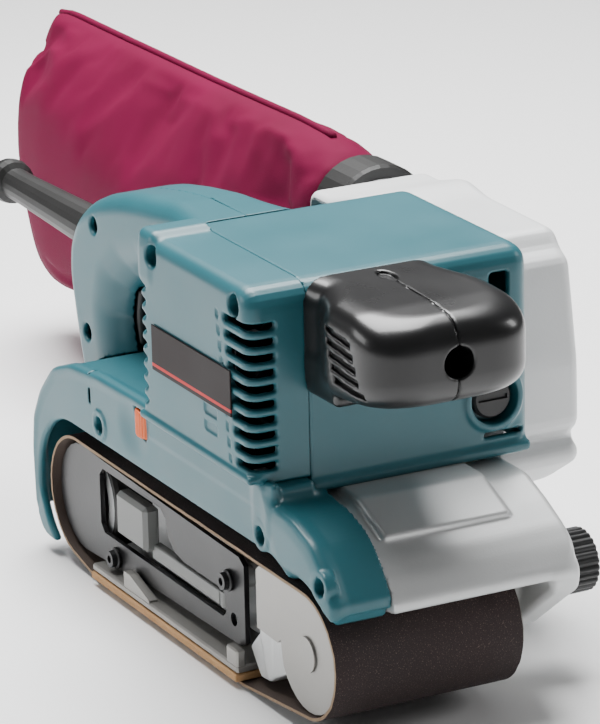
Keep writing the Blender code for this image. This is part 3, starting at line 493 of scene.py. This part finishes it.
# Front grip: a hollow glossy black moulding on the housing's front, broad and flat on top, with a narrow
# neck on the open side that has slanted slots, a seam along the top and one deep screw hole in its nose.
black_tones = (0.004, 0.004, 0.0045), (0.006, 0.006, 0.0065)
black = finish("black_plastic", *black_tones, 0.30, coat=0.15, size=1400, height=0.012)
grip_x = np.linspace(80, 160, 161)


def eased(stations, values):
    """Values along the grip's length with their corners smoothed."""
    plain_values = np.interp(grip_x, stations, values)
    window = np.hanning(19)
    return np.convolve(np.pad(plain_values, 8, "edge"), window[1:-1] / window.sum(), "valid")


grip_left = eased([88, 97, 107, 113, 160], [-23.5, -21.0, -25.0, -27.5, -27.5])
grip_right = eased([88, 96, 112, 120, 160], [30.5, 31.5, 37.5, 38.5, 38.5])
grip_top = eased([88, 130, 160], [160.0, 158.5, 155.0])
grip_low = eased([88, 108, 160], [117.4, 121.5, 127.0])


def grip_field(x, y, z):
    sides = (grip_left, grip_right, grip_top, grip_low)
    left, right, top, low = (np.interp(x, grip_x, side) for side in sides)
    side = np.maximum(left - y, y - right)
    side = blend_high(side, x - 150.3, 20)
    body = blend_high(side, np.maximum(z - top, low - z), 11)
    under = block(x, y, z, (86, -22, 117.4), (110, 4, 133), 2.5)
    return blend_low(body, under, 3)


def grip_shell(x, y, z):
    body = grip_field(x, y, z)
    whole = np.maximum(body, 88.5 - x)
    boss = drum(y, z, x, (5, 141), 8.5, 80, 149, 0.5)
    whole = np.maximum(whole, -np.maximum(np.maximum(body + 3, x - 143), -boss))
    seam = np.maximum(np.abs(y - 5) - 0.3, 100 - x)
    whole = blend_high(whole, -np.maximum(seam, -(body + 0.7)), 0.5)
    oval = np.sqrt(((x - 99) / 5.5) ** 2 + ((y - 5) / 2.8) ** 2)
    whole = blend_high(whole, -np.maximum((oval - 1) * 2.8, -(body + 1.4)), 0.8)
    whole = blend_high(whole, -drum(y, z, x, (5, 141.5), 5.7, 108, 170, 0.3), 1.0)
    whole = blend_high(whole, -drum(y, z, x, (5, 141), 2.8, 80, 170, 0.1), 0.3)
    for i in range(5):
        height = 148.3 - 4.1 * i
        slot = np.maximum(np.abs(z - height + (x - 121) * 0.08) - 1.1, np.abs(x - 121 - 1.7 * i) - 9.5)
        slot = np.maximum(slot, y + 10)
        whole = blend_high(whole, -np.maximum(slot, -(body + 1.8)), 0.6)
    return whole


grip = skin("front_handle", grip_shell, (88, -31.5, 116), (151, 41, 161), 0.8)
dress(grip, black, ["front_grip"])

# Frame: a silver painted casting. It carries the raised pad in front of the housing and ends in a rounded
# corner at the front, with a channel beside the pad and a seat for the tracking knob.
silver_tones = (0.54, 0.55, 0.55), (0.60, 0.61, 0.61)
silver = finish("silver_casting", *silver_tones, 0.38, metallic=0.35, size=1300, height=0.035)
hood_line = [(74, 58), (74, 77.5), (102, 77), (116, 71.5), (128, 65.5), (135, 60), (139.6, 53), (139.6, 49)]
hood_line = soft(hood_line, 3) + circle(front_axle, 27.0, 44, 118, 8)
wall_line = circle(rear_axle, 26.5, 262, 118, 10)
wall_line += [(-60, 66), (92, 66), (112, 60), (104, 52), (94, 30), (84, 14), (70, 10)]
plan_line = soft([(60, -40), (60, 61), (140, 61), (140, -40)], [0, 0, 11, 0], 10)
pad_line = soft([(74, 66), (74, 80.2), (102, 79.9), (121.5, 71.3), (118, 62)], 1.5)
flange_line = soft([(90, 60), (132, 56), (138.5, 52), (138, 44), (106, 19.5), (98, 19.5), (90, 30)], 3)
front_line = soft([(62, 15), (72, 25), (80.5, 25), (80.5, 7), (76, 5.8), (70, 5.2)], 1.5)
tongue_line = soft([(70, 25), (92, 25), (96, 16), (76, 5.8)], 1.2)
knob_centre = (104, 40)
bracket_centre = (5, 34)
plate_screws = ((-49, 13), (48, 36))


def frame_field(x, y, z):
    core = block(x, y, z, (-48, -26, 14), (60, 44, 47), 1.5)
    wall = prism(x, z, y, wall_line, 41, 49.5, 1.5)
    whole = blend_low(core, wall, 2)
    whole = blend_low(whole, block(x, y, z, (-50, -36, 58), (94, 49, 66), 1), 2)
    hood = np.maximum(prism(x, z, y, hood_line, -24, 61, 3.0), -16.0 - y)
    hood = blend_high(hood, np.maximum(outline(x, y, plan_line), 30 - z), 2)
    whole = blend_low(whole, hood, 3)
    whole = blend_low(whole, prism(x, z, y, pad_line, -10, 42, 1.8), 1.2)
    whole = blend_low(whole, drum(x, z, y, knob_centre, 11.0, 46, 71.4, 1.0), 4)
    whole = blend_low(whole, block(x, y, z, (92, 52, 44), (112, 60.5, 62), 2), 3)
    whole = blend_low(whole, prism(x, z, y, flange_line, 48.5, 60.8, 2.5), 3)
    whole = blend_low(whole, prism(x, z, y, front_line, -34.2, 37, 1.0), 1)
    whole = blend_low(whole, prism(x, z, y, tongue_line, -34.2, -31.4, 0.8), 1)
    for joined in (
        block(x, y, z, (44, -22, 15), (74, 36, 23), 1),
        drum(x, z, y, plate_screws[0], 4.5, -32.6, -20, 0.4),
        drum(x, z, y, plate_screws[1], 4.0, -32.6, -20, 0.4),
        block(x, y, z, (-54, -26, 8), (-42, 0, 20), 1),
        block(x, y, z, (34, -30.5, 15), (46, -22, 18.5), 0.5),
        block(x, y, z, (34, -30.5, 31.5), (46, -22, 35), 0.5),
    ):
        whole = np.minimum(whole, joined)
    cuts = drum(x, z, y, rear_axle, 14.3, 38, 60)
    for cut in (
        drum(y, z, x, bracket_centre, 4.4, 10, 64),
        drum(y, z, x, bracket_centre, 9.0, 24, 64),
        drum(x, z, y, knob_centre, 3.3, 30, 80),
        drum(x, y, z, (40, -31), 1.8, 13, 40),
        drum(x, z, y, plate_screws[0], 1.8, -40, -18),
        drum(x, z, y, plate_screws[1], 1.8, -40, -18),
        block(x, y, z, (-64, -40, 18), (33, -20, 47.5), 0.5),
        block(x, y, z, (66, -34, 25.5), (96, 40, 52), 0.5),
    ):
        cuts = np.minimum(cuts, cut)
    return blend_high(whole, -cuts, 0.6)


casting = skin("cast_frame", frame_field, (-106, -37, 1), (141, 76, 81), 1.0)
dress(casting, silver, ["frame"])


# Drive cover: a near-white silver moulding screwed over the toothed belt, with a raised pocket on top, a
# stepped front edge and the spout that the bag's collar fits on.
cover_line = [(-51, 147), (-36, 147), (-16, 152.5), (0, 149.5), (48, 148.8), (52, 143), (58.6, 139.8), (65, 101.5)]
cover_line += [(65.5, 76), (59.5, 71), (65, 68.5), (65.5, 62.5), (46, 50), (30, 42.5), (-40, 18)]
cover_line += circle(rear_axle, 26.0, 310, 170, 10) + [(-102, 62), (-74, 86), (-56, 100)]
cover_line = soft(cover_line, 4, 3)
spout_centre = (88, 128)


def drive_field(x, y, z):
    outer = prism(x, z, y, cover_line, 51.4, 105, 5)
    inner = outline(x, z, cover_line) + 3
    hollow = np.maximum(inner, y - 102)
    seat = drum(x, z, y, rear_axle, 13.5, 93, 104, 0.5)
    whole = np.maximum(outer, -np.maximum(hollow, -seat))
    whole = np.maximum(whole, -block(x, y, z, (-3, 40, 66.5), (100, 70.8, 175), 0.5))
    spout = drum(y, z, x, spout_centre, 16, -76.5, -50, 1)
    whole = blend_low(whole, spout, 3)
    whole = np.maximum(whole, -drum(y, z, x, spout_centre, 13.2, -90, -44))
    whole = np.maximum(whole, -drum(x, z, y, rear_axle, 11.3, 85, 101.3))
    return whole


white_silver_tones = (0.66, 0.67, 0.675), (0.72, 0.73, 0.735)
white_silver = finish("silver_plastic", *white_silver_tones, 0.45, metallic=0.15, size=1100, height=0.05)
drive = skin("drive_side_cover", drive_field, (-105, 51, 2), (67, 106, 154), 1.0)
dress(drive, white_silver, ["drive_cover"])


# Tracking knob: a black moulded knob with round ribs on its rim and a shallow dish in its face, pressed onto
# the tracking screw at the drive side's front corner.
def knob_field(x, y, z):
    dx, dz = x - knob_centre[0], z - knob_centre[1]
    ribs = 0.9 * np.abs(np.cos(np.arctan2(dz, dx) * 13))
    whole = meet(np.sqrt(dx**2 + dz**2) - 11.1 - ribs, np.abs(y - 77.15) - 5.35, 1.2)
    dish = drum(x, z, y, knob_centre, 8.0, 81.8, 95, 0.3)
    whole = blend_high(whole, -dish, 0.8)
    return np.maximum(whole, -drum(x, z, y, knob_centre, 3.3, 65, 78.4))


knob = skin("ribbed_knob", knob_field, (91, 71, 27), (117, 83, 53), 0.5, "tracking_knob")
dress(knob, matt_black, ["tracking_knob"])

# Sanding belt: a cloth loop with dark brown grit glued outside and bare cloth inside. Its cut edges are
# slightly frayed and pale. It runs round both rollers and flat under the sole.
sole_half = 63.0
front_reach = 23.9
rear_reach = 25.0
belt_half = 38


def loop_points(inset, steps=44):
    """The belt's side outline, set in from its outer face: an arc round each roller and straight lines between
    them, the lower ones touching the sole's ends."""

    def touch(centre, radius, point, side):
        dx, dz = point[0] - centre[0], point[1] - centre[1]
        return math.degrees(math.atan2(dz, dx) + side * math.acos(radius / math.hypot(dx, dz)))

    front = touch(front_axle, front_reach - inset, (sole_half, inset), 1)
    rear = touch(rear_axle, rear_reach - inset, (-sole_half, inset), -1)
    path = circle(rear_axle, rear_reach - inset, 360 + rear, 90, steps)
    first = np.array(path[-1])
    last = np.array((front_axle[0], front_axle[1] + front_reach - inset))
    path += [tuple(first + (last - first) * t) for t in np.linspace(0.02, 0.98, 60)]
    path += circle(front_axle, front_reach - inset, 90, front, steps)
    path += [(x, inset) for x in np.linspace(sole_half, -sole_half, 40)]
    return np.array(path)


def strip(low, high, count):
    """The quads between two closed rings of count points, whose first points are numbers low and high."""
    i = np.arange(count)
    j = (i + 1) % count
    return np.stack([low + i, low + j, high + j, high + i], axis=1)


def placed(name, points, faces):
    """A new object from points in millimetres and faces."""
    mesh = bpy.data.meshes.new(name)
    mesh.from_pydata((points * 0.001).tolist(), [], faces)
    obj = bpy.data.objects.new(name, mesh)
    bpy.context.scene.collection.objects.link(obj)
    return obj


edge_lines = np.array([36.8, 37.6, belt_half])
across = np.concatenate([-edge_lines[::-1], np.linspace(-35, 35, 29), edge_lines])
outside, lining = loop_points(0.0), loop_points(1.2)
rows, columns = len(outside), len(across)
rng = np.random.default_rng(4)
fray = np.convolve(np.tile(rng.normal(0, 0.16, rows), 3), np.ones(3) / 3, "same")[rows : 2 * rows]
verts = []
for ring in (outside, lining):
    for y in across:
        frayed = y - np.sign(y) * np.abs(fray) * (abs(y) == belt_half)
        verts.append(np.stack([ring[:, 0], frayed, ring[:, 1]], axis=1))
inner_start = columns * rows
outer_faces = [strip(c * rows, (c + 1) * rows, rows)[:, ::-1] for c in range(columns - 1)]
inner_faces = [strip(inner_start + c * rows, inner_start + (c + 1) * rows, rows) for c in range(columns - 1)]
last_column = inner_start - rows
edge_faces = [strip(0, inner_start, rows), strip(last_column, inner_start + last_column, rows)[:, ::-1]]
faces = np.concatenate(outer_faces + inner_faces + edge_faces)
belt = placed("grit_belt", np.concatenate(verts), faces.tolist())
belt_mesh = belt.data
belt_mesh.shade_smooth()
belt_mesh.set_sharp_from_angle(angle=math.radians(50))
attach(belt, "machine")
grit_tones = (0.012, 0.006, 0.006), (0.030, 0.016, 0.015)
grit = finish("abrasive_cloth", *grit_tones, 0.82, size=2600, height=0.25, spread=0.1)
speck = grit.node_tree.nodes.new("ShaderNodeTexNoise")
speck.inputs["Scale"].default_value = 2300.0
speck_ramp = grit.node_tree.nodes.new("ShaderNodeMapRange")
speck_ramp.inputs["From Min"].default_value = 0.60
speck_ramp.inputs["From Max"].default_value = 0.78
speck_mix = grit.node_tree.nodes.new("ShaderNodeMix")
speck_mix.data_type = "RGBA"
speck_mix.inputs[7].default_value = (0.17, 0.11, 0.10, 1)
grit_shader = grit.node_tree.nodes["Principled BSDF"]
grit_where = grit.node_tree.nodes.new("ShaderNodeTexCoord")
grit.node_tree.links.new(grit_where.outputs["Object"], speck.inputs["Vector"])
grit.node_tree.links.new(speck.outputs["Fac"], speck_ramp.inputs["Value"])
grit.node_tree.links.new(speck_ramp.outputs["Result"], speck_mix.inputs[0])
grit.node_tree.links.new(grit_shader.inputs["Base Color"].links[0].from_socket, speck_mix.inputs[6])
grit.node_tree.links.new(speck_mix.outputs[2], grit_shader.inputs["Base Color"])
lining_tones = (0.050, 0.035, 0.028), (0.085, 0.060, 0.048)
lining_cloth = finish("belt_lining", *lining_tones, 0.85, size=1800, height=0.15)
cut_edge = finish("belt_cut_edge", (0.16, 0.10, 0.06), (0.42, 0.30, 0.19), 0.9, size=1500, height=0.3)
dress(belt, grit, ["sanding_belt"])
belt_mesh.materials.append(lining_cloth)
belt_mesh.materials.append(cut_edge)
outer_count = (columns - 1) * rows
material_of = np.zeros(len(faces), np.int32)
material_of[outer_count : 2 * outer_count] = 1
material_of[2 * outer_count :] = 2
belt_mesh.polygons.foreach_set("material_index", material_of)

# Dust bag: burgundy woven cloth, two flat sides sewn together round the edge, tied to the rubber collar and
# filled with air. It starts as a thin oval bag, and the air inside it swells and wrinkles the cloth. Each
# section holds its X, the height of its middle, half its width and half its height.
bag_sections = [(-77.8, 128, 19, 19), (-86, 127, 20, 22), (-98, 125, 21, 27), (-125, 118.5, 21, 34.5)]
bag_sections += [(-160, 109, 21, 43.5), (-205, 98, 22, 54), (-260, 88, 22, 64), (-315, 82, 20, 70)]
bag_sections += [(-350, 81, 15, 71.5), (-366, 81.5, 9, 65), (-377, 83, 3, 48)]
bag_x, bag_middle, bag_wide, bag_tall = np.array(bag_sections[::-1], float).T
bag_rows = np.linspace(-377, -77.8, 64)[:, None]
bag_sides = 64
turns = np.linspace(0, 2 * math.pi, bag_sides, endpoint=False)
middle, wide, tall = (np.interp(bag_rows, bag_x, values) for values in (bag_middle, bag_wide, bag_tall))
oval = (bag_rows, spout_centre[0] + wide * np.cos(turns), middle + tall * np.sin(turns))


def tube_faces(rings, sides):
    """The quads between each ring of a tube and the next, and a cap at each end."""
    walls = np.concatenate([strip(i * sides, (i + 1) * sides, sides) for i in range(rings - 1)])
    return walls.tolist() + [list(range(sides))[::-1], list(range((rings - 1) * sides, rings * sides))]


bag_faces = [face[::-1] for face in tube_faces(len(bag_rows), bag_sides)]
bag = placed("cloth_bag", np.stack(np.broadcast_arrays(*oval), axis=2).reshape(-1, 3), bag_faces)


def evaluated(obj):
    """Makes the object's mesh what its modifiers show."""
    bpy.context.view_layer.update()
    graph = bpy.context.evaluated_depsgraph_get()
    made = bpy.data.meshes.new_from_object(obj.evaluated_get(graph))
    obj.modifiers.clear()
    old = obj.data
    obj.data = made
    bpy.data.meshes.remove(old)


remesh = bag.modifiers.new("even", "REMESH")
remesh.mode = "VOXEL"
remesh.voxel_size = 0.0048
evaluated(bag)
count = len(bag.data.vertices)
start = np.empty(count * 3)
bag.data.vertices.foreach_get("co", start)
start = start.reshape(-1, 3)
held = bag.vertex_groups.new(name="held")
ridge = np.interp(start[:, 0] * 1000, bag_x, bag_middle + bag_tall) * 0.001
neck = start[:, 0] > -0.086
top_seam = (start[:, 2] > ridge - 0.0045) & (start[:, 0] > -0.362)
held.add(np.nonzero(neck | top_seam)[0].tolist(), 1.0, "REPLACE")
air = bag.modifiers.new("air", "CLOTH")
air.settings.quality = 7
air.settings.mass = 0.12
air.settings.tension_stiffness = 25
air.settings.compression_stiffness = 25
air.settings.shear_stiffness = 8
air.settings.bending_stiffness = 0.05
air.settings.shrink_min = -0.03
air.settings.use_pressure = True
air.settings.uniform_pressure_force = 4.0
air.settings.vertex_group_mass = "held"
air.settings.effector_weights.gravity = 0.0
moments = 24
air.point_cache.frame_end = moments
for moment in range(1, moments + 1):
    bpy.context.scene.frame_set(moment)
evaluated(bag)
bpy.context.scene.frame_set(1)
filled = np.empty(count * 3)
bag.data.vertices.foreach_get("co", filled)
move = filled.reshape(-1, 3) - start
far = np.linalg.norm(move, axis=1)
furthest = 0.013
move *= (np.minimum(far, furthest) / np.maximum(far, 1e-9))[:, None]
bag.data.vertices.foreach_set("co", (start + move).ravel())
smoother = bag.modifiers.new("smooth", "SUBSURF")
smoother.levels = 1
evaluated(bag)
bag.data.shade_smooth()
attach(bag, "dust_bag")
burgundy = finish("bag_cloth", (0.105, 0.001, 0.022), (0.160, 0.002, 0.038), 0.75, size=3000, height=0.12)
burgundy.node_tree.nodes["Principled BSDF"].inputs["Specular IOR Level"].default_value = 0.12
dress(bag, burgundy, ["dust_bag"])

# Piping: a burgundy cord 3 mm thick, sewn into the seam along the bag's top. It follows the highest points
# of the filled cloth from behind the neck to the rear corner.
piping_radius = 1.5
skin_points = np.empty(len(bag.data.vertices) * 3)
bag.data.vertices.foreach_get("co", skin_points)
skin_points = skin_points.reshape(-1, 3) * 1000
seam = []
for x in np.arange(-96, -366, -6.0):
    near = skin_points[np.abs(skin_points[:, 0] - x) < 4]
    seam.append(near[near[:, 2].argmax()])
seam = np.array(seam)
seam[:, 1] = np.convolve(np.pad(seam[:, 1], 3, "edge"), np.ones(7) / 7, "valid")
seam[:, 2] = np.convolve(np.pad(seam[:, 2], 1, "edge"), np.ones(3) / 3, "valid") + 0.4
turns = np.linspace(0, 2 * math.pi, 10, endpoint=False)
ring = piping_radius * np.stack([0 * turns, np.cos(turns), np.sin(turns)], axis=1)
piping_points = (seam[:, None] + ring).reshape(-1, 3)
piping = placed("bag_piping", piping_points, tube_faces(len(seam), len(turns)))
piping.data.shade_smooth()
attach(piping, "dust_bag")
dress(piping, burgundy)

# Label: a thin dark printed plate glued into the side cover, with a red line along its foot. It is plain, with
# no lettering.
label_dark = finish("label_print", (0.008, 0.004, 0.004), (0.016, 0.008, 0.008), 0.5, size=800, height=0.004)
label_tree = label_dark.node_tree
label_where = label_tree.nodes.new("ShaderNodeTexCoord")
label_split = label_tree.nodes.new("ShaderNodeSeparateXYZ")
label_line = label_tree.nodes.new("ShaderNodeMath")
label_line.operation = "COMPARE"
red_line_height, red_line_half = 0.1108, 0.0006
label_line.inputs[1].default_value = red_line_height
label_line.inputs[2].default_value = red_line_half
label_paint = label_tree.nodes.new("ShaderNodeMix")
label_paint.data_type = "RGBA"
label_paint.inputs[7].default_value = (0.55, 0.03, 0.03, 1)
label_shader = label_tree.nodes["Principled BSDF"]
label_shader.inputs["Specular IOR Level"].default_value = 0.15
label_tree.links.new(label_where.outputs["Object"], label_split.inputs["Vector"])
label_tree.links.new(label_split.outputs["Z"], label_line.inputs[0])
label_tree.links.new(label_line.outputs[0], label_paint.inputs[0])
label_tree.links.new(label_shader.inputs["Base Color"].links[0].from_socket, label_paint.inputs[6])
label_tree.links.new(label_paint.outputs[2], label_shader.inputs["Base Color"])
dress(nodes["label_plate"], label_dark)

# Small pieces: the pressed plates, ground rollers, turned pins, screws, rubber and cork keep their own shapes,
# and each takes the finish of its material: two tones, roughness, metallic, grain size and grain height.
plain = {}
for name, dark, light, rough, metallic, size, height in (
    ("bright_steel", (0.50, 0.50, 0.50), (0.62, 0.62, 0.62), 0.25, 1.0, 900, 0.01),
    ("grey_steel", (0.30, 0.29, 0.275), (0.38, 0.37, 0.35), 0.42, 0.7, 700, 0.03),
    ("black_steel", (0.007, 0.007, 0.008), (0.012, 0.012, 0.013), 0.36, 0.2, 700, 0.02),
    ("grey_plastic", (0.14, 0.145, 0.14), (0.19, 0.195, 0.19), 0.45, 0.0, 900, 0.03),
    ("cork", (0.30, 0.15, 0.06), (0.62, 0.38, 0.18), 0.9, 0.0, 420, 0.4),
    ("black_rubber", (0.005, 0.005, 0.005), (0.010, 0.0095, 0.009), 0.5, 0.0, 600, 0.05),
    ("copper", (0.60, 0.28, 0.14), (0.72, 0.36, 0.2), 0.35, 1.0, 1500, 0.05),
    ("laminated_iron", (0.12, 0.12, 0.13), (0.2, 0.2, 0.21), 0.5, 0.7, 1500, 0.05),
    ("carbon", (0.02, 0.02, 0.02), (0.035, 0.035, 0.035), 0.75, 0.0, 1500, 0.05),
    ("brass", (0.60, 0.43, 0.18), (0.7, 0.52, 0.22), 0.35, 1.0, 1500, 0.05),
    ("fibre_board", (0.03, 0.10, 0.05), (0.05, 0.15, 0.07), 0.6, 0.0, 1500, 0.05),
):
    plain[name] = finish(name, dark, light, rough, metallic=metallic, size=size, height=height)
plain |= {
    "black_plastic": matt_black,
    "silver_casting": silver,
    "silver_plastic": white_silver,
    "teal_plastic": teal,
    "orange_plastic": orange,
    "bag_cloth": burgundy,
    "abrasive_cloth": grit,
}
for part in frame["record"]["subparts"]:
    if part["node"] != "label_plate":
        dress(nodes[part["node"]], plain[part["material_slot"]])
dress(nodes["front_axle"], plain["grey_steel"])
